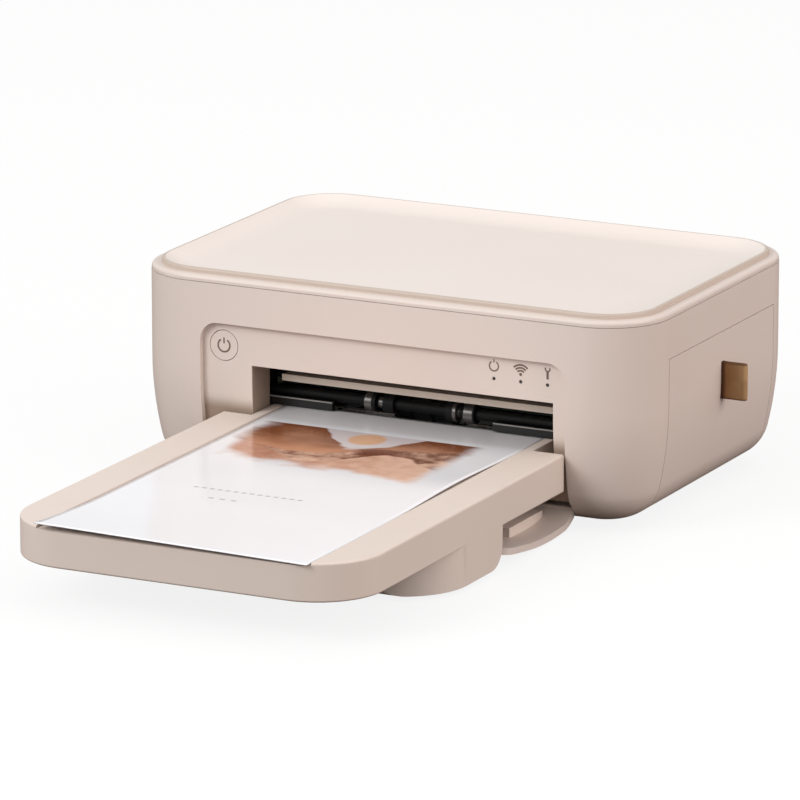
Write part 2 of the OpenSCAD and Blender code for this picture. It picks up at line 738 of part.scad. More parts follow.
module power_inlet() {
    y1 = -front_y - face_in(inlet_at.y - inlet_hw) - wall - 0.3;
    color(black) difference() {
        union() {
            translate([inlet_at.x - inlet_hw, y1 - 2 * inlet_hw, inlet_at.y - inlet_hw])
                cube(2 * inlet_hw);
            translate([inlet_at.x, y1 - 1, inlet_at.y]) rotate([-90, 0, 0])
                cylinder(r = inlet_nose_r, h = inlet_nose_l);
        }
        difference() {
            translate([inlet_at.x, y1 - 8, inlet_at.y]) rotate([-90, 0, 0])
                cylinder(r = inlet_bore_r, h = 20);
            translate([inlet_at.x, y1 - 9, inlet_at.y]) rotate([-90, 0, 0]) cylinder(r = 1, h = 9);
        }
    }
}

// ---------------------------------------------------------------- drive

post_at = [[platen_c.x + 27, base_top + 6], [platen_c.x + 27, 50], [platen_c.x - 5, nip_z + 13],
    [platen_c.x - 9, base_top + 5]];
post_r = 2.6;
module motor_bracket() {
    color(steel) difference() {
        union() {
            along_x([0, 0], bracket_x - bracket_t) linear_extrude(bracket_t)
                polygon([post_at[3] + [-4, -4], post_at[0] + [4, -4], post_at[1] + [4, 4],
                    post_at[2] + [-4, 4]]);
            for (p = post_at) along_x(p, bracket_x)
                cylinder(r = post_r, h = plate_x0 - plate_t - bracket_x);
        }
        along_x(motor_c, bracket_x - 5) cylinder(r = 5, h = 10);
        along_x(platen_c, bracket_x - 5) cylinder(r = platen_shaft_r + 0.5, h = 10);
        for (p = post_at) along_x(p, bracket_x - 5) cylinder(r = screw_r, h = 9);
    }
}
module bracket_screws() {
    color("silver") for (p = post_at) along_x(p, bracket_x - bracket_t) mirror([0, 0, 1]) pan_screw(5);
}
module feed_motor() {
    color("#8d9096") difference() {
        union() {
            along_x(motor_c, bracket_x - bracket_t - motor_l) cylinder(r = motor_r, h = motor_l);
            along_x(motor_c, bracket_x - bracket_t) cylinder(r = 4.8, h = bracket_t);
        }
        along_x(motor_c, bracket_x - bracket_t - 6) cylinder(r = 1 + run_gap, h = 20);
        for (a = [0:45:315])
            along_x(away(motor_c, motor_r - 3.5, a), bracket_x - bracket_t - motor_l - 1)
                cylinder(r = 1.2, h = 2.5);
    }
}
module motor_pinion() {
    x0 = bracket_x - bracket_t - 5;
    color("#d9c27a") {
        along_x(motor_c, gear_x) gear(pinion_t, pinion_turn, 0.9);
        along_x(motor_c, x0) cylinder(r = 1, h = gear_x + gear_w + 0.4 - x0);
    }
}
gear_white = "#e6e3d6";
module idler_gear() {
    color(gear_white) along_x(idler_c, gear_x) gear(idler_t, idler_turn, shaft_r + run_gap);
}
module platen_gear() color(gear_white) along_x(platen_c, gear_x) gear(platen_t, 0, platen_shaft_r);
module pickup_gear() color(gear_white) along_x(pickup_c, gear_x) gear(pickup_t, pickup_turn, shaft_r);
module exit_gear() color(gear_white) along_x(exit_c, gear_x) gear(exit_t, exit_turn, shaft_r);
module capstan_gear() color(gear_white) along_x(capstan_c, gear_x) gear(capstan_t, capstan_turn, shaft_r);

module drive_shaft(c, r) {
    along_x(c, gear_x - 0.4) cylinder(r = r, h = plate_x1 + plate_t + 1 - gear_x + 0.4);
}
module tube(r0, r1, h) {
    difference() {
        cylinder(r = r1, h = h);
        translate([0, 0, -1]) cylinder(r = r0, h = h + 2);
    }
}
module platen_shaft() color("silver") drive_shaft(platen_c, platen_shaft_r);
module platen_roller() color(rubber) along_x(platen_c, mech_x - 52) tube(platen_shaft_r, platen_r, 104);
module pickup_shaft() color("silver") drive_shaft(pickup_c, shaft_r);
module pickup_tyre() {
    color(rubber) difference() {
        along_x(pickup_c, mech_x - 11) tube(shaft_r, pickup_r, 22);
        for (k = [-1, 1]) along_x(pickup_c, mech_x + k * 4 - 0.8) tube(pickup_r - 0.8, pickup_r + 1, 1.6);
    }
}
module exit_shaft() color("silver") drive_shaft(exit_c, shaft_r);
module exit_tyres() {
    color(rubber) for (s = [-1, 1], x = [12, 19])
        along_x(exit_c, exit_mid + s * x - 2) tube(shaft_r, exit_r, 4);
}
module capstan_roller() {
    color("silver") {
        drive_shaft(capstan_c, shaft_r);
        along_x(capstan_c, mech_x - 50) cylinder(r = capstan_r, h = 100);
    }
}
module pinch_roller() {
    color(rubber) {
        along_x(pinch_c, plate_x0 - plate_t) cylinder(r = journal_r, h = plate_gap + 2 * plate_t);
        along_x(pinch_c, mech_x - 50) cylinder(r = pinch_r, h = 100);
    }
}

// ---------------------------------------------------------------- print head

head_y = 5.6;
head_z0 = nip_z + head_gap;
block_top = head_z0 + 6;
arm_t = 1.5;
module print_head() {
    color("#4b4640") translate([mech_x - head_hw, platen_c.x - head_y, head_z0 + 1])
        cube([2 * head_hw, 2 * head_y, 5]);
    color("#d8d2c8") translate([mech_x - head_hw, platen_c.x - 2.5, head_z0]) cube([2 * head_hw, 5, 1]);
}
module head_heatsink() {
    hy = head_y + 1.2;
    fin_h = 9;
    fin_t = 1.2;
    color("silver") translate([mech_x - head_hw, platen_c.x, block_top]) {
        translate([0, -hy, 0]) cube([2 * head_hw, 2 * hy, 2.5]);
        for (k = [0:4]) translate([0, -hy + k * (2 * hy - fin_t) / 4, 2.4])
            cube([2 * head_hw, fin_t, fin_h]);
    }
}
module head_arm() {
    y0 = platen_c.x - head_y - 1.2;
    y1 = platen_c.x + head_y;
    y2 = head_pivot_c.x + 4;
    z1 = plate_z1 - 2.4;
    low = block_top + 0.4;
    under = takeup_c.y + spool_case_r + 1.2;
    x0 = mech_x - head_hw - arm_t - 0.1;
    color(steel) difference() {
        union() {
            for (x = [x0, mech_x + head_hw + 0.1]) along_x([0, 0], x) linear_extrude(arm_t)
                polygon([[y0, low], [y1, low], [y1, under], [y2, under], [y2, z1], [y0, z1]]);
            translate([x0, y0, z1 - 1.2]) cube([2 * (mech_x - x0), y2 - y0, 1.2]);
        }
        along_x(head_pivot_c, plate_x0) cylinder(r = head_pivot_r + run_gap, h = plate_gap);
        translate([mech_x - 40, platen_c.x + 12, 0]) cube([80, 14, 100]);
    }
}
module head_pivot() {
    color("silver") along_x(head_pivot_c, plate_x0 - plate_t)
        cylinder(r = head_pivot_r, h = plate_gap + 2 * plate_t);
}

// ---------------------------------------------------------------- ribbon

case_x0 = mech_x - 55;
case_l = 110;
end_t = 2;
bridge_z = 1;
// Wall of one ribbon housing, open towards the head at angle a0
module spool_case(c, a0) {
    along_x(c, case_x0 + end_t - 0.4) linear_extrude(case_l - 2 * end_t + 0.8) difference() {
        circle(spool_case_r);
        circle(spool_case_r - spool_wall);
        rotate(a0) polygon([[0, 0], [20, -11], [20, 11]]);
    }
}
module case_end() {
    difference() {
        union() {
            for (c = [takeup_c, supply_c]) translate(c) circle(spool_case_r + 0.3);
            translate([takeup_c.x, takeup_c.y + bridge_z]) square([supply_c.x - takeup_c.x, 7.5]);
        }
        for (c = [takeup_c, supply_c]) translate(c) circle(spool_journal_r + run_gap);
    }
}
module ribbon_cartridge() {
    grip_w = 12;
    grip_x = case_x0 + case_l - 0.5;
    grip_y = (takeup_c.x + supply_c.x - grip_w) / 2;
    color("#3c3b3d") {
        spool_case(takeup_c, 0);
        spool_case(supply_c, 165);
        for (x = [case_x0, case_x0 + case_l - end_t]) along_x([0, 0], x) linear_extrude(end_t) case_end();
        translate([grip_x, grip_y, takeup_c.y + bridge_z + 0.3]) cube([16, grip_w, 7]);
        for (k = [0:2]) translate([grip_x + 7.5 + 3 * k, grip_y - 0.6, takeup_c.y + bridge_z - 0.4])
            cube([1.4, grip_w + 1.2, 8.4]);
    }
}
// Touching point of the line from p on the circle at c, on the side s
function touch(c, r, p, s) = away(c, r, bearing(c, p) + s * acos(r / norm(p - c)));
module ribbon_film() {
    film_t = 0.12;
    // the film runs flat under the head, then up to each spool
    flat0 = [platen_c.x - head_y - 0.6, nip_z + head_gap / 2];
    flat1 = [platen_c.x + head_y + 0.6, flat0.y];
    a = touch(takeup_c, takeup_film_r + 0.35, flat0, 1);
    b = touch(supply_c, supply_film_r + 0.35, flat1, -1);
    up = [0, film_t];
    color("#5d2f52") along_x([0, 0], mech_x - 51) linear_extrude(102)
        polygon([a, flat0, flat1, b, b + up, flat1 + up, flat0 + up, a + up]);
}
module spool(c, film_r) {
    along_x(c, case_x0 + end_t + 0.3) cylinder(r = 3.5, h = case_l - 2 * end_t - 0.6);
    along_x(c, mech_x - 51) cylinder(r = film_r, h = 102);
    along_x(c, case_x0 - 1) cylinder(r = spool_journal_r, h = case_l + 2);
}
module takeup_spool() {
    color("#5d2f52") difference() {
        spool(takeup_c, takeup_film_r);
        along_x(takeup_c, case_x0 - 2) translate([-3, -0.7, 0]) cube([6, 1.4, 4]);
    }
}
module takeup_gear() {
    color(gear_white) {
        along_x(takeup_c, gear_x) gear(takeup_t, takeup_turn, shaft_r);
        along_x(takeup_c, gear_x - 0.4) cylinder(r = shaft_r, h = case_x0 - 1.2 - gear_x + 0.4);
        along_x(takeup_c, case_x0 - 1.5) translate([-1.8, -0.6, 0]) cube([3.6, 1.2, 2.5]);
    }
}
module supply_spool() color("#5d2f52") spool(supply_c, supply_film_r);

// ---------------------------------------------------------------- covers

module side_door() {
    slit = 2 * leather_t + 0.3;
    color(beige) difference() {
        union() {
            intersection() {
                shell_layer(0, wall, seam_z);
                translate([door_hinge.x, door_ya, hinge_z])
                    cube([side_x, door_yb - door_ya, door_z1 - hinge_z]);
            }
            translate([door_hinge.x, door_ya, hinge_z]) rotate([-90, 0, 0])
                cylinder(r = knuckle_r, h = door_yb - door_ya);
        }
        for (y = [door_ya - 1, door_yb - pin_in - 0.3])
            translate([door_hinge.x, y, hinge_z]) rotate([-90, 0, 0])
                cylinder(r = pin_r + pin_clear, h = pin_in + 1.3);
        translate([side_x - 10, front_y + tab_y - slit / 2, tab_z - tab_w / 2 - 0.2])
            cube([20, slit, tab_w + 0.4]);
    }
}
// A strap folded on itself: two layers joined by a round nose, anchored behind the door
module pull_tab() {
    x0 = side_x - wall - face_in(tab_z) - 2.5;
    nose = side_x - face_in(tab_z) + tab_reach;
    half = leather_t + 0.05;
    color("#9c7040") translate([0, front_y + tab_y, tab_z - tab_w / 2]) {
        linear_extrude(tab_w) difference() {
            union() {
                translate([x0 - 0.5, -half]) square([nose - half - x0 + 0.5, 2 * half]);
                translate([nose - half, 0]) circle(half);
            }
            translate([x0 - 1, -0.05]) square([nose - half - x0, 0.1]);
        }
        translate([x0 - 1.5, -3, 0]) cube([1.5, 6, tab_w]);
    }
}
module door_hinge_pins() {
    color("silver") for (y = [door_ya - pin_l + pin_in, door_yb - pin_in])
        translate([door_hinge.x, y, hinge_z]) rotate([-90, 0, 0]) cylinder(r = pin_r, h = pin_l);
}

cover_hw = recess_hw - seam_gap;
// Blocks that stand on the open cover, either side of the cassette
guide_w = 12;
guide_hw = 55.5;
guide_l = 26;
guide_y0 = front_y - 21;
guide_z0 = 2.6;
guide_h = 4.2;
module cover_shut() {
    intersection() {
        shell_layer(0, wall, seam_z);
        rotate([90, 0, 0]) translate([0, 0, -cover_hinge.x]) linear_extrude(body_d)
            arch(cover_hw, hinge_z, recess_z - seam_gap, recess_r - seam_gap);
    }
    along_x(cover_hinge, -cover_hw) cylinder(r = knuckle_r, h = 2 * cover_hw);
}
module front_cover() {
    color(beige) {
        difference() {
            translate([0, cover_hinge.x, cover_hinge.y]) rotate([cover_open, 0, 0])
                translate([0, -cover_hinge.x, -cover_hinge.y]) cover_shut();
            for (s = [-1, 1]) along_x(cover_hinge, s * (cover_hw - pin_in / 2) - pin_in / 2 - 0.5)
                cylinder(r = pin_r + pin_clear, h = pin_in + 1);
        }
        for (x = [mech_x + guide_hw - guide_w, mech_x - guide_hw])
            translate([x, guide_y0, guide_z0]) cube([guide_w, guide_l, guide_h]);
    }
}
module cover_hinge_pins() {
    color("silver") for (s = [-1, 1])
        along_x(cover_hinge, s * (recess_hw + pin_l / 2 - pin_in) - pin_l / 2)
            cylinder(r = pin_r, h = pin_l);
}

// ---------------------------------------------------------------- cassette

tray_x = mech_x + 0.05;
tray_y0 = front_y - tray_reach;
tray_y1 = front_y + 0.5;
insert_hw = paper_w / 2 + 4;
stack_y1 = pickup_c.x + 3;
insert_y1 = stack_y1 + 0.3 + tray_wall;
cavity_hw = paper_w / 2 + 0.6;
lane_z = deck_z - channel_d;
groove_in = 2;
tray_edge_in = tray_r - tray_edge;

module tray_profile() {
    translate([0, tray_z0]) square([tray_edge_in, deck_z - tray_z0]);
    translate([0, tray_z0 + tray_edge]) square([tray_r, deck_z - tray_z0 - 2 * tray_edge]);
    for (z = [tray_z0 + tray_edge, deck_z - tray_edge]) translate([tray_edge_in, z]) circle(tray_edge);
}
module foot_block() {
    y0 = front_y - foot_y1;
    y1 = front_y - foot_y0;
    r_front = 24;
    r_rear = 8;
    hw = tray_w / 2;
    intersection() {
        translate([tray_x, 0, foot_gap]) linear_extrude(tray_z0 + 1 - foot_gap) {
            translate([-hw, y0 + r_front]) square([2 * hw, y1 - y0 - r_front]);
            translate([-hw + r_front, y0]) square([2 * (hw - r_front), y1 - y0]);
            for (s = [-1, 1]) translate([s * (hw - r_front), y0 + r_front]) circle(r_front, $fn = 96);
        }
        along_x([0, 0], -body_w) linear_extrude(2 * body_w) {
            translate([y0, foot_gap + r_rear]) square([y1 - y0, 20]);
            translate([y0 + 3, foot_gap]) square([y1 - y0 - 3 - r_rear, 20]);
            translate([y1 - r_rear, foot_gap + r_rear]) circle(r_rear);
            translate([y0, foot_gap + 3]) square([10, 20]);
            translate([y0 + 3, foot_gap + 3]) circle(3);
        }
    }
}
module cassette_tray() {
    mid_y = (tray_y0 + tray_y1 + 60) / 2;
    color(beige) difference() {
        union() {
            intersection() {
                translate([tray_x, mid_y, 0])
                    carried_round(tray_w / 2 - tray_r, mid_y - tray_y0 - tray_r, tray_z0, deck_z)
                        tray_profile();
                translate([-body_w, tray_y0 - 1, 0]) cube([2 * body_w, tray_y1 - tray_y0 + 1, 60]);
            }
            translate([mech_x - insert_hw, tray_y1 - 5, tray_z0])
                cube([2 * insert_hw, insert_y1 - tray_y1 + 5, deck_z - tray_z0]);
            foot_block();
        }
        // channel between the rails, open at the front
        translate([mech_x - channel_w / 2, tray_y0 - 1, lane_z])
            cube([channel_w, insert_y1 - tray_y0 + 2, 10]);
        // paper well
        translate([mech_x - cavity_hw, stack_y1 - paper_l - 0.4, tray_z0 + tray_wall])
            cube([2 * cavity_hw, paper_l + 0.7, 30]);
        // grooves that hold the sliding cover, open at the back
        translate([mech_x - cavity_hw - groove_in, tray_y0 + 4, lane_z - cover_t - 0.1])
            cube([2 * (cavity_hw + groove_in), insert_y1 - tray_y0, cover_t + 0.1]);
        // notch that lets the rear wall pass under the pickup tyre
        translate([mech_x - 13, stack_y1, stack_top - 1.2]) cube([26, 10, 10]);
        // hollow underside of the foot block
        translate([tray_x, front_y - (foot_y0 + foot_y1) / 2 - 1, 0]) linear_extrude(tray_z0 - tray_wall)
            rounded(tray_w / 2 - 8, (foot_y1 - foot_y0) / 2 - 8, 8);
    }
}
cover_y1 = pickup_c.x - pickup_r - 1.3;
module cassette_cover() {
    hw = cavity_hw + groove_in - 0.2;
    color(beige) translate([mech_x - hw, tray_y0 + 4.2, lane_z - cover_t])
        cube([2 * hw, cover_y1 - tray_y0 - 4.2, cover_t - 0.05]);
}
lift_t = 0.8;
module lift_plate() {
    color(steel) difference() {
        translate([mech_x - 40, stack_y1 - 60, tray_z0 + tray_wall]) cube([80, 58, lift_t]);
        translate([mech_x, stack_y1 - 30, 0]) linear_extrude(40) rounded(14, 10, 4);
    }
}
module paper_stack() {
    z1 = stack_top;
    color("white") translate([mech_x - paper_w / 2, stack_y1 - paper_l, z1 - stack_h])
        cube([paper_w, paper_l, stack_h]);
}
sheet_t = 0.3;
module photo_sheet() {
    color("white") translate([mech_x - paper_w / 2, cover_y1 - 5 - paper_l, lane_z + 0.05])
        cube([paper_w, paper_l, sheet_t]);
}

main_shell();
top_cover();
front_panel();
rubber_feet();
base_plate();
base_screws();
left_chassis_plate();
right_chassis_plate();
shaft_bushes();
exit_guide();
guide_bar();
paper_guide();
control_board();
status_lenses();
power_button();
main_board();
power_inlet();
motor_bracket();
bracket_screws();
feed_motor();
motor_pinion();
idler_gear();
platen_shaft();
platen_roller();
platen_gear();
pickup_shaft();
pickup_tyre();
pickup_gear();
exit_shaft();
exit_tyres();
exit_gear();
capstan_roller();
capstan_gear();
pinch_roller();
print_head();
head_heatsink();
head_arm();
head_pivot();
ribbon_cartridge();
ribbon_film();
takeup_spool();
takeup_gear();
supply_spool();
side_door();
pull_tab();
door_hinge_pins();
front_cover();
cover_hinge_pins();
cassette_tray();
cassette_cover();
lift_plate();
paper_stack();
photo_sheet();
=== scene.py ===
import json
import math

import bmesh
import bpy
import numpy as np
from mathutils import Matrix, Vector


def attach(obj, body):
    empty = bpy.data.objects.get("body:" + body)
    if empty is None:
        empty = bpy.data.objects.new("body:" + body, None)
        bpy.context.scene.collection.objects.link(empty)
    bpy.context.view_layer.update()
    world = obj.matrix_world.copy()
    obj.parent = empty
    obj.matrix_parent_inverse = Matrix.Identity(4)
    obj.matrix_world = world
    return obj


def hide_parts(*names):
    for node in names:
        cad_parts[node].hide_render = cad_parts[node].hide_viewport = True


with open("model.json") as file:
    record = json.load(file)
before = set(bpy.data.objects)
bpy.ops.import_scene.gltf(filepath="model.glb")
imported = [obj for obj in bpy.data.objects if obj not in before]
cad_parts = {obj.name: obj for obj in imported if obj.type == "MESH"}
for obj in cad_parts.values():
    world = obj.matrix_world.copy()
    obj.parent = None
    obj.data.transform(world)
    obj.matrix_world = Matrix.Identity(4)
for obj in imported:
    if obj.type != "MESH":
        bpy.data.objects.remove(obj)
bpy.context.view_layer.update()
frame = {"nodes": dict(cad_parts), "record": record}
print("frame loaded")


def tint(code):  # sRGB hex to linear colour
    parts = [int(code[k:k + 2], 16) / 255 for k in (0, 2, 4)]
    return tuple(p / 12.92 if p <= 0.04045 else ((p + 0.055) / 1.055) ** 2.4 for p in parts) + (1.0,)


class Wire:  # one output socket; sums on it add nodes
    def __init__(self, paint, socket):
        self.paint, self.socket = paint, socket

    def math(self, operation, *others):
        return self.paint.node("ShaderNodeMath", {"operation": operation}, dict(enumerate((self, *others))))

    def __add__(self, other):
        return self.math("ADD", other)

    def __sub__(self, other):
        return self.math("SUBTRACT", other)

    def __mul__(self, other):
        return self.math("MULTIPLY", other)

    def __truediv__(self, other):
        return self.math("DIVIDE", other)

    def __rsub__(self, other):
        return self.paint.node("ShaderNodeMath", {"operation": "SUBTRACT"}, {0: other, 1: self})

    __radd__, __rmul__ = __add__, __mul__

    def over(self, level, soft):  # 0 below the level and 1 above it, smooth across 2 * soft
        return self.paint.node("ShaderNodeMapRange", {"interpolation_type": "SMOOTHSTEP"},
                               {"Value": self, "From Min": level - soft, "From Max": level + soft})

    def between(self, low, high, soft):
        return self.over(low, soft) * (1 - self.over(high, soft))


class Paint:  # a material with its Principled shader
    def __init__(self, name, **fixed):
        self.material = bpy.data.materials.new(name)
        self.material.use_nodes = True
        self.tree = self.material.node_tree
        self.shader = self.tree.nodes["Principled BSDF"]
        for key, value in fixed.items():
            self.shader.inputs[key].default_value = value
        self.place = self.node("ShaderNodeTexCoord", output="Object")

    def node(self, kind, settings=None, inputs=None, output=0):
        made = self.tree.nodes.new(kind)
        for key, value in (settings or {}).items():
            setattr(made, key, value)
        for key, value in (inputs or {}).items():
            if isinstance(value, Wire):
                self.tree.links.new(value.socket, made.inputs[key])
            else:
                made.inputs[key].default_value = value
        return Wire(self, made.outputs[output])

    def axes(self):  # x, y and z of the object's own coordinates, in metres
        return [self.node("ShaderNodeSeparateXYZ", None, {0: self.place}, k) for k in range(3)]

    def noise(self, scale, detail=2.0, stretch=None):
        where = self.place
        if stretch:
            where = self.node("ShaderNodeMapping", None, {"Vector": self.place, "Scale": stretch})
        return self.node("ShaderNodeTexNoise", None, {"Vector": where, "Scale": scale, "Detail": detail})

    def mix(self, share, first, second):  # colour blend
        return self.node("ShaderNodeMix", {"data_type": "RGBA"}, {0: share, 6: first, 7: second}, 2)

    def bump(self, height, depth, strength=1.0):
        return self.node("ShaderNodeBump", None, {"Height": height, "Distance": depth, "Strength": strength})

    def set(self, **links):
        for key, wire in links.items():
            self.tree.links.new(wire.socket, self.shader.inputs[key.replace("_", " ")])
        return self.material

    def grained(self, colour, rough, grain, spread, depth, strength):  # the grain shows in sheen and relief
        return self.set(Base_Color=colour, Roughness=rough + (grain - 0.5) * spread,
                        Normal=self.bump(grain, depth, strength))


def moulded(name, look):  # fine-grained moulded plastic or rubber
    paint = Paint(name, **{"IOR": 1.47, "Specular IOR Level": look.get("gloss", 0.5)})
    broad = paint.noise(look.get("blotch", 18), 3).over(0.5, 0.3)
    colour = paint.mix(broad, tint(look["colour"]), tint(look["shade"]))
    if "wallY" in look:  # painted shade: the walls that run in behind the face are painted a darker brown
        colour = paint.mix(paint.axes()[1].over(look["wallY"], 0.0003), colour, tint(look["wall"]))
    if "ledgeAt" in look:
        # distance from the rectangle on which the rounded outline's corners are centred
        dx, dy = [(axis.math("ABSOLUTE") - look[core]).math("MAXIMUM", 0)
                  for axis, core in zip(paint.axes(), ("coreX", "coreY"))]
        out = (dx * dx + dy * dy).math("SQRT")
        colour = paint.mix(out.over(look["ledgeAt"], 0.0002), colour, tint(look["ledge"]))
        # painted shade: the groove between the rim and the ledge is painted darker
        grooveShade = out.between(*look["grooveAt"], 0.0003) * look["grooveShadeShare"]
        colour = paint.mix(grooveShade, colour, tint(look["grooveShade"]))
    return paint.grained(colour, look["rough"], paint.noise(look["grain"], 2), 0.12, look["depth"],
                         look.get("strength", 0.5))


def guideBlack(name, look):  # black blocks whose faces below the level of their tops are painted a little lighter, as painted light, with a painted highlight along the tops' front edge
    paint = Paint(name, **{"IOR": 1.47, "Specular IOR Level": 0.4})
    y, z = paint.axes()[1:]
    level, soft = look["level"], 0.0001
    face = 1 - z.over(level, soft)
    edge = z.between(level - 0.0004, level + soft, soft) * (1 - y.over(look["edgeY"], 0.0002))
    colour = paint.mix(face, tint(look["colour"]), tint(look["shade"]))
    colour = paint.mix(edge, colour, tint(look["edge"]))
    return paint.grained(colour, look["rough"], paint.noise(1800, 2), 0.1, 0.00003, 0.4)


def bandedBlack(name, look):  # black, with bright collars between pairs of places along x
    paint = Paint(name, **{"IOR": 1.5, "Specular IOR Level": 0.22})
    x, bright = paint.axes()[0], 0.0
    for low, high in look["bands"]:
        bright = x.between(low, high, 0.0002) + bright
    paint.set(Metallic=bright * 0.9)
    colour = paint.mix(bright, tint(look["colour"]), tint(look["shade"]))
    return paint.grained(colour, look["rough"] - bright * 0.25, paint.noise(2000, 2), 0.08, 0.00002, 0.3)


def drawnMetal(name, look):  # rolled or ground metal, streaked along x
    paint = Paint(name, **{"IOR": 1.5})
    broad = paint.noise(25, 2)
    paint.set(Metallic=1 - broad.over(0.95, 0.04) * 0.2)
    colour = paint.mix(broad.over(0.5, 0.35), tint(look["colour"]), tint(look["shade"]))
    streak = paint.noise(look["grain"], 3, (0.05, 1, 1))
    return paint.grained(colour, look["rough"], streak, 0.2, look["depth"], 0.4)


finishes = {
    "shellBeige": {"kind": moulded, "colour": "dccfc7", "shade": "d9cbc2", "rough": 0.46, "grain": 2600,
                   "depth": 0.00003, "blotch": 9, "gloss": 0.42, "strength": 0.35},
    # the cover's dish and rim are the shell's plastic painted lighter, as painted light falling on the top;
    # the groove outside the rim is painted darker, as painted shade; and the ledge is shell beige
    "coverLitBeige": {"kind": moulded, "colour": "e7ded8", "shade": "e4dad3", "ledge": "dacdc5",
                   "grooveShade": "b3a292", "rough": 0.42, "grain": 2600, "depth": 0.00003, "blotch": 9,
                   "gloss": 0.45, "strength": 0.3, "coreX": 0.0753, "coreY": 0.0443, "ledgeAt": 0.0188,
                   "grooveAt": (0.0177, 0.0191), "grooveShadeShare": 0.75},
    # slotPanel's wall colour is painted shade on the walls inside the slot, behind wallY
    "slotPanel": {"kind": moulded, "colour": "dccfc7", "shade": "d9cbc2", "wall": "a08c7d",
                  "wallY": -0.0640, "rough": 0.46, "grain": 2600, "depth": 0.00003, "blotch": 9,
                  "gloss": 0.42, "strength": 0.35},
    "trayBeige": {"kind": moulded, "colour": "dccfc6", "shade": "d8cac0", "rough": 0.5, "grain": 2400,
                  "depth": 0.00003, "blotch": 11, "gloss": 0.4, "strength": 0.35},
    "barBeige": {"kind": moulded, "colour": "e6dbce", "shade": "dccfc1", "rough": 0.38, "grain": 2200,
                 "depth": 0.00002, "gloss": 0.5},
    "blackMoulding": {"kind": moulded, "colour": "141313", "shade": "0d0c0c", "rough": 0.42, "grain": 1800,
                      "depth": 0.00004, "gloss": 0.5},
    # the exit guide's edge is a painted highlight on the blocks' top front edge, and its lighter shade tone
    # is painted light on the faces below the tops
    "exitGuide": {"kind": guideBlack, "colour": "0b0a0a", "shade": "141313", "edge": "8f8d8b", "rough": 0.45,
                  "level": 0.0319, "edgeY": -0.0500},
    "exitRow": {"kind": bandedBlack, "colour": "070707", "shade": "5e5c5a", "rough": 0.6,
                "bands": ((-0.0158, -0.0124), (-0.0102, -0.0082), (0.0188, 0.0208), (0.0230, 0.0264))},
    "footRubber": {"kind": moulded, "colour": "242323", "shade": "1a1919", "rough": 0.8, "grain": 1500,
                   "depth": 0.00006, "gloss": 0.3},
    "rollerRubber": {"kind": moulded, "colour": "1b1b1c", "shade": "121213", "rough": 0.62, "grain": 2500,
                     "depth": 0.00005, "gloss": 0.35},
    "gearWhite": {"kind": moulded, "colour": "dedacb", "shade": "d3cebd", "rough": 0.36, "grain": 1600,
                  "depth": 0.00002, "gloss": 0.5},
    "lensGrey": {"kind": moulded, "colour": "2b2320", "shade": "211a17", "rough": 0.2, "grain": 900,
                 "depth": 0.00001, "gloss": 0.6},
    "boardGreen": {"kind": moulded, "colour": "1f5a39", "shade": "174a2e", "rough": 0.35, "grain": 700,
                   "depth": 0.00005, "gloss": 0.5},
    "ribbonFilm": {"kind": moulded, "colour": "54284a", "shade": "43203b", "rough": 0.24, "grain": 800,
                   "depth": 0.00001, "gloss": 0.6},
    "paperBlank": {"kind": moulded, "colour": "efeeec", "shade": "e9e8e6", "rough": 0.55, "grain": 3000,
                   "depth": 0.00002, "gloss": 0.3},
    "ceramicBrown": {"kind": moulded, "colour": "4b4640", "shade": "3f3b36", "rough": 0.28, "grain": 900,
                     "depth": 0.00001, "gloss": 0.6},
    "sheetSteel": {"kind": drawnMetal, "colour": "b4b7bb", "shade": "a6a9ad", "rough": 0.38, "grain": 900,
                   "depth": 0.00002},
    "brightSteel": {"kind": drawnMetal, "colour": "cfd1d4", "shade": "c2c4c8", "rough": 0.22, "grain": 1400,
                    "depth": 0.00001},
    "motorCan": {"kind": drawnMetal, "colour": "9a9da2", "shade": "8d9096", "rough": 0.33, "grain": 900,
                 "depth": 0.00002},
    "pinionBrass": {"kind": drawnMetal, "colour": "cfae62", "shade": "bd9c52", "rough": 0.3, "grain": 1200,
                    "depth": 0.00001},
    "sinkAluminium": {"kind": drawnMetal, "colour": "d3d5d7", "shade": "c6c8cb", "rough": 0.32, "grain": 1000,
                      "depth": 0.00002},
}
nodeFinish = {
    "shellBeige": ["main_shell", "power_button", "side_door", "front_cover"],
    "slotPanel": ["front_panel"],
    "coverLitBeige": ["top_cover"],
    "trayBeige": ["cassette_tray", "cassette_cover"],
    "barBeige": ["guide_bar"],
    "blackMoulding": ["paper_guide", "power_inlet", "ribbon_cartridge"],
    "exitGuide": ["exit_guide"],
    "exitRow": ["exit_shaft", "exit_tyres"],
    "footRubber": ["rubber_feet"],
    "rollerRubber": ["platen_roller", "pickup_tyre", "pinch_roller"],
    "gearWhite": ["shaft_bushes", "idler_gear", "platen_gear", "pickup_gear", "exit_gear", "capstan_gear",
                  "takeup_gear"],
    "lensGrey": ["status_lenses"],
    "boardGreen": ["control_board", "main_board"],
    "ribbonFilm": ["ribbon_film", "takeup_spool", "supply_spool"],
    "paperBlank": ["paper_stack"],
    "ceramicBrown": ["print_head"],
    "sheetSteel": ["base_plate", "left_chassis_plate", "right_chassis_plate", "motor_bracket", "head_arm",
                   "lift_plate"],
    "brightSteel": ["base_screws", "bracket_screws", "platen_shaft", "pickup_shaft", "capstan_roller",
                    "head_pivot", "door_hinge_pins", "cover_hinge_pins"],
    "motorCan": ["feed_motor"],
    "pinionBrass": ["motor_pinion"],
    "sinkAluminium": ["head_heatsink"],
}
materials = {name: look["kind"](name, look) for name, look in finishes.items()}


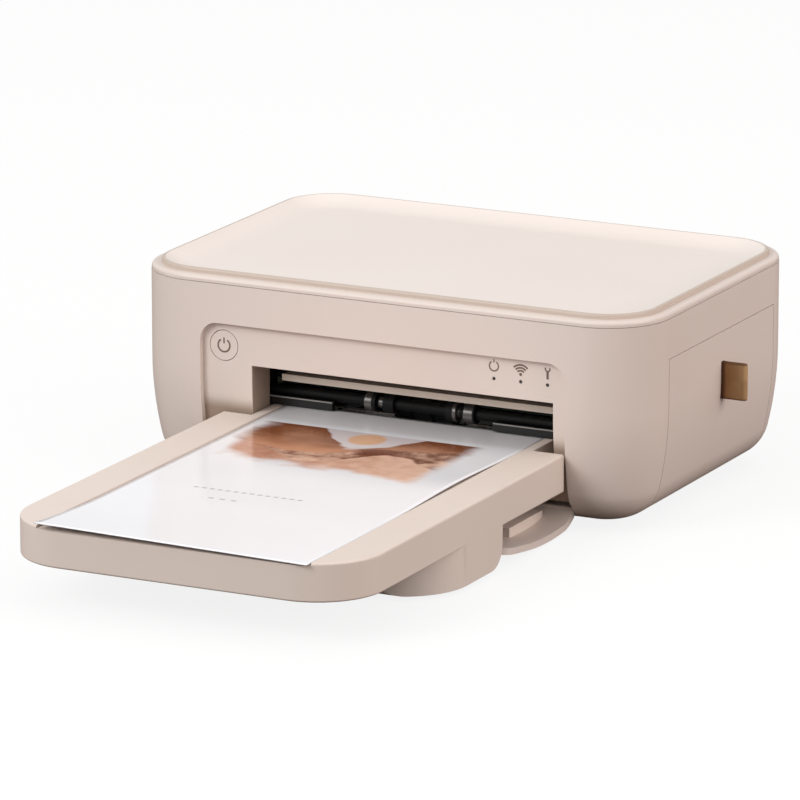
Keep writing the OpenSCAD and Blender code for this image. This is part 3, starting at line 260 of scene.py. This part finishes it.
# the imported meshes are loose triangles, so each curved part shows as a merged copy whose edges stay
# crisp only where the surface turns by more than the edge angle
dressing = {"merge": 0.000001, "edgeAngle": 30}


def weigh(piece):
    modifier = piece.modifiers.new("weighNormals", "WEIGHTED_NORMAL")
    modifier.mode, modifier.weight, modifier.keep_sharp = "FACE_AREA", 100, True


def mergedCopy(node, material):
    work = bmesh.new()
    work.from_mesh(frame["nodes"][node].data)
    bmesh.ops.remove_doubles(work, verts=work.verts, dist=dressing["merge"])
    mesh = bpy.data.meshes.new(node + ".dressed")
    work.to_mesh(mesh)
    work.free()
    for name in [a.name for a in mesh.attributes if a.name == "custom_normal"]:
        mesh.attributes.remove(mesh.attributes[name])
    mesh.materials.clear()
    mesh.materials.append(material)
    mesh.polygons.foreach_set("material_index", [0] * len(mesh.polygons))
    mesh.shade_smooth()
    mesh.set_sharp_from_angle(angle=math.radians(dressing["edgeAngle"]))
    piece = bpy.data.objects.new(node + ".dressed", mesh)
    bpy.context.scene.collection.objects.link(piece)
    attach(piece, bodyOf[node])
    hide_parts(node)
    weigh(piece)


bodyOf = {node: body for body, nodes in frame["record"]["behaviour"]["bodies"].items() for node in nodes}
for finish, names in nodeFinish.items():
    for name in names:
        mergedCopy(name, materials[finish])
print("finishes on the carried-over parts")


def makePiece(name, points, faces, material, body, smooth=True):
    mesh = bpy.data.meshes.new(name)
    mesh.from_pydata(points.reshape(-1, 3).tolist(), [], [list(map(int, f)) for f in faces])
    mesh.polygons.foreach_set("use_smooth", [smooth] * len(mesh.polygons))
    mesh.materials.append(material)
    piece = bpy.data.objects.new(name, mesh)
    bpy.context.scene.collection.objects.link(piece)
    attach(piece, body)
    return piece


def tubeFaces(rings, around):  # quads between closed rings laid one after another, and two end caps
    i, j = np.meshgrid(np.arange(rings - 1), np.arange(around), indexing="ij")
    n = (j + 1) % around
    quads = np.stack([i * around + j, i * around + n, (i + 1) * around + n, (i + 1) * around + j], -1)
    caps = [list(range(around - 1, -1, -1)), list(range((rings - 1) * around, rings * around))]
    return [list(q) for q in quads.reshape(-1, 4)] + caps


# the finished print, which lies in the channel with its right edge on the rail
sheet = {"x": (-0.046, 0.054), "y": (-0.2266, -0.0469), "low": 0.02785, "thick": 0.00026,
         "lift": 0.0013, "liftAt": -0.118, "liftLong": 0.034, "curl": 0.0021, "curlLong": 0.05,
         "rise": 0.0005, "riseLong": 0.022, "across": 60, "along": 90}


def sheetHeight(x, y):  # a bump of exp(-t^2) along the right edge; both ends turn up as t^2
    u = np.clip((x - sheet["x"][0]) / (sheet["x"][1] - sheet["x"][0]), 0, 1)
    lift = sheet["lift"] * u ** 5 * np.exp(-((y - sheet["liftAt"]) / sheet["liftLong"]) ** 2)
    front = np.clip((sheet["y"][0] + sheet["curlLong"] - y) / sheet["curlLong"], 0, 1)
    rear = np.clip((y - sheet["y"][1] + sheet["riseLong"]) / sheet["riseLong"], 0, 1)
    return sheet["low"] + lift + sheet["curl"] * front ** 2 * (1 - 0.8 * u) + sheet["rise"] * rear ** 2


def sheetPoints():  # rings run across the sheet's upper face and back along its lower face
    x = np.linspace(*sheet["x"], sheet["across"])
    y = np.linspace(sheet["y"][1], sheet["y"][0], sheet["along"])
    across, along = np.meshgrid(x, y)
    top = np.stack([across, along, sheetHeight(across, along) + sheet["thick"]], -1)
    low = np.stack([across, along, sheetHeight(across, along)], -1)[:, ::-1]
    return np.concatenate([top, low], 1)


# the picture's place on the sheet, and each row of dashes as y, first x, last x, pitch, phase and gap
picture = {"left": 0.0430, "near": 0.1225, "wide": 0.0865, "deep": 0.0540, "ink": "7d7a7c", "faint": 0.5,
           "rows": ((0.1570, -0.0245, 0.0170, 2100, 0, -0.35), (0.1672, -0.0155, -0.0020, 1500, 1, 0.1))}


def printPaint():
    paint = Paint("printedSheet", **{"Coat Roughness": 0.12, "IOR": 1.5, "Specular IOR Level": 0.35})
    x, y = paint.axes()[:2]
    u = (x + picture["left"]) * (1 / picture["wide"])  # 0 to 1 across the picture
    v = (y + picture["near"]) * (1 / picture["deep"])  # 0 to 1 from its near edge to its far edge
    wave = paint.noise(28, 3, (1, 1.4, 0)) - 0.5
    fine = paint.noise(170, 3, (1, 1, 0)) - 0.5
    sky = paint.mix(v.over(0.55, 0.5), tint("ece6e6"), tint("d6cdcf"))
    # three folded hills, each under its own wavy skyline
    far = 0.88 + 0.3 * (u * 9.0 + 0.2).math("SINE") + wave * 0.35
    mid = 0.6 + 0.2 * (u * 5.2 + 3.3).math("SINE") + wave * 0.5
    near = 0.36 + 0.14 * (u * 9.0 + 1.2).math("SINE") + wave * 0.45
    farColour = paint.mix((v + wave).over(0.6, 0.35), tint("dea27f"), tint("7e4628"))
    midColour = paint.mix((v + wave * 2 + fine).over(0.4, 0.3), tint("eec3a9"), tint("753d24"))
    nearColour = paint.mix((u + fine).over(0.5, 0.5), tint("bf8468"), tint("edc3ab"))
    # a disc low in the sky, round on the sheet
    dx, dy = (u - 0.5) * 1.72, v - 0.84
    disc = 1 - (dx * dx + dy * dy).math("SQRT").over(0.13, 0.02)
    scene = paint.mix(disc, sky, tint("e3b491"))
    for skyline, soft, colour in ((far, 0.02, farColour), (mid, 0.015, midColour), (near, 0.02, nearColour)):
        scene = paint.mix(1 - (v - skyline).over(0, soft), scene, colour)
    # the picture fades out at its near and side edges
    inside = (v + wave * 0.9 + u * 0.1).over(0.14, 0.09) * (1 - v.over(0.985, 0.01))
    inside = inside * (u + wave * 0.3).over(0.04, 0.05) * (1 - (u + fine * 0.05).over(0.95, 0.04))
    white = paint.mix(paint.noise(40, 2).over(0.5, 0.3), tint("f1f2f6"), tint("eeeff4"))
    # painted shade: beyond the picture's far edge the blank paper runs in under the slot and is painted
    # greyer
    white = paint.mix(v.over(1.05, 0.06), white, tint("dcd9db"))
    ink = paint.mix(inside, white, scene)
    dashes = 0.0
    for place, first, last, pitch, phase, gap in picture["rows"]:
        row = 1 - (y + place).math("ABSOLUTE").over(0.0007, 0.0002)
        dash = (x * pitch + phase).math("SINE").over(gap, 0.3) * x.between(first, last, 0.0004)
        dashes = row * dash + dashes
    ink = paint.mix(dashes * picture["faint"], ink, tint(picture["ink"]))
    return paint.set(Base_Color=ink, Roughness=0.2 + fine * 0.05, Coat_Weight=0.5 + fine * 0.1,
                     Normal=paint.bump(paint.noise(60, 2), 0.00004, 0.3))


printed = makePiece("printedSheet", sheetPoints(), tubeFaces(sheet["along"], 2 * sheet["across"]),
                    printPaint(), "cassette")
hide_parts("photo_sheet")
print("print")

# the pull tab: one strap of leather folded on itself
tab = {"y": 0.0014, "z": 0.0426, "width": 0.013, "thick": 0.0013, "reach": 0.0087, "root": 0.0925,
       "side": 0.098, "gap": 0.00008, "steps": 26, "across": 30}


def tabPaint():
    paint = Paint("tabLeather", **{"IOR": 1.45, "Specular IOR Level": 0.4})
    pores = paint.node("ShaderNodeTexVoronoi", {"feature": "DISTANCE_TO_EDGE"},
                       {"Vector": paint.place, "Scale": 1500})
    cloud = paint.noise(220, 4)
    x, z = paint.axes()[::2]
    out = (x - tab["side"]) / tab["reach"]  # 0 at the door, 1 at the nose
    hide = paint.mix(out.over(0.55, 0.5), tint("8e623a"), tint("b8946a"))
    hide = paint.mix(cloud.over(0.5, 0.22) * 0.35, hide, tint("7c5230"))
    rim = (z - tab["z"]).math("ABSOLUTE").over(tab["width"] / 2 - 0.0005, 0.0003)
    # painted shade: the strap is painted dark near the door, where it comes out in shade
    root = 1 - out.over(0.16, 0.1)
    colour = paint.mix(rim * 0.8, hide, tint("5a3414"))
    colour = paint.mix(root * 0.9, colour, tint("431c00"))
    return paint.set(Base_Color=colour, Roughness=0.5 + (cloud - 0.5) * 0.3,
                     Normal=paint.bump(pores.over(0.1, 0.1), 0.00006, 0.6))


def tabPoints():  # a rounded-edge strip carried out, round the nose and back
    half = tab["thick"] / 2
    mid = half + tab["gap"]
    nose = tab["side"] + tab["reach"] - mid
    out = np.linspace(tab["root"], nose, tab["steps"])
    turn = np.linspace(-np.pi / 2, np.pi / 2, 16)[1:-1]
    line = np.concatenate([np.stack([out, np.full_like(out, -mid)], -1),
                           np.stack([nose + mid * np.cos(turn), mid * np.sin(turn)], -1),
                           np.stack([out[::-1], np.full_like(out, mid)], -1)])
    ahead = np.gradient(line, axis=0)
    ahead /= np.linalg.norm(ahead, axis=1, keepdims=True)
    normal = np.stack([ahead[:, 1], -ahead[:, 0]], -1)
    a = np.linspace(0, 2 * np.pi, tab["across"], endpoint=False)
    # superellipse section: squarish strip with rounded edges
    w = tab["width"] / 2 * np.sign(np.cos(a)) * np.abs(np.cos(a)) ** 0.25
    t = half * 0.96 * np.sign(np.sin(a)) * np.abs(np.sin(a)) ** 0.5
    plan = line[:, None, :] + normal[:, None, :] * t[None, :, None]
    points = np.zeros((len(line), len(a), 3))
    points[..., 0] = plan[..., 0]
    points[..., 1] = tab["y"] + plan[..., 1]
    points[..., 2] = tab["z"] + w[None, :]
    return points


tabMesh = tabPoints()
pullTab = makePiece("pullTab", tabMesh, tubeFaces(len(tabMesh), tab["across"]), tabPaint(), "door")
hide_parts("pull_tab")
print("pull tab")

# printed signs beside the controls, each a thin line of ink standing just proud of its surface
signs = {"colour": "7d6a5e", "dark": "6a584c", "proud": 0.00004, "thick": 0.00012, "panelY": -0.0646,
         "controlZ": 0.0517, "buttonX": -0.0617, "lights": (0.0422, 0.0523, 0.0624), "above": 0.0044}


def inkPaint(name, code):
    paint = Paint(name, **{"Specular IOR Level": 0.3})
    speck = paint.noise(3000, 2)
    return paint.set(Base_Color=paint.mix(speck.over(0.5, 0.3), tint(code), tint(signs["dark"])),
                     Roughness=0.5 + (speck - 0.5) * 0.2)


def strokePoints(path, width, y):  # a flat ribbon of even width along a path in the XZ plane
    path = np.asarray(path, float)
    ahead = np.gradient(path, axis=0)
    ahead /= np.linalg.norm(ahead, axis=1, keepdims=True) + 1e-12
    side = np.stack([-ahead[:, 1], ahead[:, 0]], -1)
    left, right = path + side * width / 2, path - side * width / 2
    ring = np.stack([left, right, right, left], 1)
    depth = np.array([0, 0, signs["thick"], signs["thick"]])
    points = np.zeros((len(path), 4, 3))
    points[..., 0], points[..., 2] = ring[..., 0], ring[..., 1]
    points[..., 1] = y - signs["proud"] + depth[None, :]
    return points


def arcPath(x, z, radius, start, stop, count=40):
    a = np.radians(np.linspace(start, stop, count))
    return np.stack([x + radius * np.cos(a), z + radius * np.sin(a)], -1)


def sign(name, strokes, y, body, material):
    points, faces, count = [], [], 0
    for path, width in strokes:
        stroke = strokePoints(path, width, y)
        faces += [[k + count for k in face] for face in tubeFaces(len(stroke), 4)]
        points.append(stroke.reshape(-1, 3))
        count += stroke.size // 3
    makePiece(name, np.concatenate(points), faces, material, body, smooth=False)


def line(x0, z0, x1, z1):
    return np.linspace((x0, z0), (x1, z1), 6)


ink = inkPaint("signInk", signs["colour"])
bx, cz, py = signs["buttonX"], signs["controlZ"], signs["panelY"]
readyX, linkX, careX = signs["lights"]
sz = cz + signs["above"]
# an open ring with a bar, the same again smaller, three arcs over a dot, and a spanner
sign("powerSign", [(arcPath(bx, cz, 0.0023, 122, 418), 0.0006),
                   (line(bx, cz + 0.0007, bx, cz + 0.0028), 0.00055)], py, "button", ink)
sign("readySign", [(arcPath(readyX, sz, 0.0017, 122, 418), 0.0005),
                   (line(readyX, sz + 0.0012, readyX, sz + 0.0024), 0.0004)], py, "housing", ink)
sign("linkSign", [(arcPath(linkX, sz - 0.0022, r, 45, 135, 24), 0.00062) for r in (0.0037, 0.0027, 0.0017)]
     + [(arcPath(linkX, sz - 0.0018, 0.00028, 0, 360, 16), 0.00055)], py, "housing", ink)
sign("careSign", [(line(careX, sz - 0.0024, careX, sz + 0.0003), 0.0009),
                  (arcPath(careX, sz + 0.0012, 0.00085, 150, 390, 26), 0.0005)], py, "housing", ink)
print("signs")

# the floor shows pale to the camera and bounces little light, so that the lower walls fall into shade
studio = {"floorHalf": 30.0, "bounce": "4c382b", "seen": "f6f6f6", "glow": 0.86,
          "sky": (1.0, 0.995, 0.99, 1), "skyStrength": 0.72}
lamps = {
    "key": {"place": (-0.85, -1.5, 1.1), "aim": (0, -0.05, 0.04), "size": 1.1, "power": 22,
            "colour": (1.0, 0.995, 0.99)},
    "fill": {"place": (1.9, -0.05, 0.75), "aim": (0, 0, 0.04), "size": 1.2, "power": 18,
             "colour": (1.0, 0.89, 0.84)},
}


def makeFloor():
    mesh = bpy.data.meshes.new("floor")
    half = studio["floorHalf"]
    corners = [(-half, -half, 0), (half, -half, 0), (half, half, 0), (-half, half, 0)]
    mesh.from_pydata(corners, [], [(0, 1, 2, 3)])
    floor = bpy.data.objects.new("floor", mesh)
    bpy.context.scene.collection.objects.link(floor)
    paint = Paint("floorWhite", **{"Roughness": 0.9, "Specular IOR Level": 0.1})
    seen = paint.node("ShaderNodeLightPath", output="Is Camera Ray")
    paint.set(Base_Color=paint.mix(seen, tint(studio["bounce"]), tint(studio["seen"])))
    glow = paint.node("ShaderNodeEmission", None, {"Color": (1, 1, 1, 1), "Strength": 1.0})
    surface = Wire(paint, paint.shader.outputs[0])
    blend = paint.node("ShaderNodeMixShader", None, {0: seen * studio["glow"], 1: surface, 2: glow})
    paint.tree.links.new(blend.socket, paint.tree.nodes["Material Output"].inputs["Surface"])
    mesh.materials.append(paint.material)


def makeWorld():
    world = bpy.data.worlds.new("studio")
    bpy.context.scene.world = world
    world.use_nodes = True
    tree = world.node_tree
    back = tree.nodes["Background"]
    back.inputs["Color"].default_value = studio["sky"]
    back.inputs["Strength"].default_value = studio["skyStrength"]
    plain = tree.nodes.new("ShaderNodeBackground")
    plain.inputs["Color"].default_value = (1, 1, 1, 1)
    path, blend = tree.nodes.new("ShaderNodeLightPath"), tree.nodes.new("ShaderNodeMixShader")
    tree.links.new(path.outputs["Is Camera Ray"], blend.inputs[0])
    tree.links.new(back.outputs[0], blend.inputs[1])
    tree.links.new(plain.outputs[0], blend.inputs[2])
    tree.links.new(blend.outputs[0], tree.nodes["World Output"].inputs["Surface"])


def areaLight(name, look):
    lamp = bpy.data.lights.new(name, "AREA")
    lamp.shape, lamp.size, lamp.energy, lamp.color = "DISK", look["size"], look["power"], look["colour"]
    lampHolder = bpy.data.objects.new(name, lamp)
    bpy.context.scene.collection.objects.link(lampHolder)
    lampHolder.location = look["place"]
    towards = Vector(look["aim"]) - Vector(look["place"])
    lampHolder.rotation_euler = towards.to_track_quat("-Z", "Y").to_euler()


makeFloor()
makeWorld()
for name, look in lamps.items():
    areaLight(name, look)

camera = {"place": (1.0475, -2.1437, 0.6432), "lens": 315.4, "sensor": 36, "clip": (0.1, 200),
          "right": (0.8942, 0.4477, 0.0), "up": (-0.1124, 0.2245, 0.9679), "back": (0.4334, -0.8655, 0.2511)}
eye = bpy.data.cameras.new("camera")
eye.lens, eye.sensor_width = camera["lens"], camera["sensor"]
eye.clip_start, eye.clip_end = camera["clip"]
holder = bpy.data.objects.new("camera", eye)
bpy.context.scene.collection.objects.link(holder)
turned = zip(camera["right"], camera["up"], camera["back"], camera["place"])
holder.matrix_world = Matrix((*turned, (0, 0, 0, 1)))
bpy.context.scene.camera = holder
bpy.context.scene.view_settings.view_transform = "Standard"
print("stage, lights and camera")
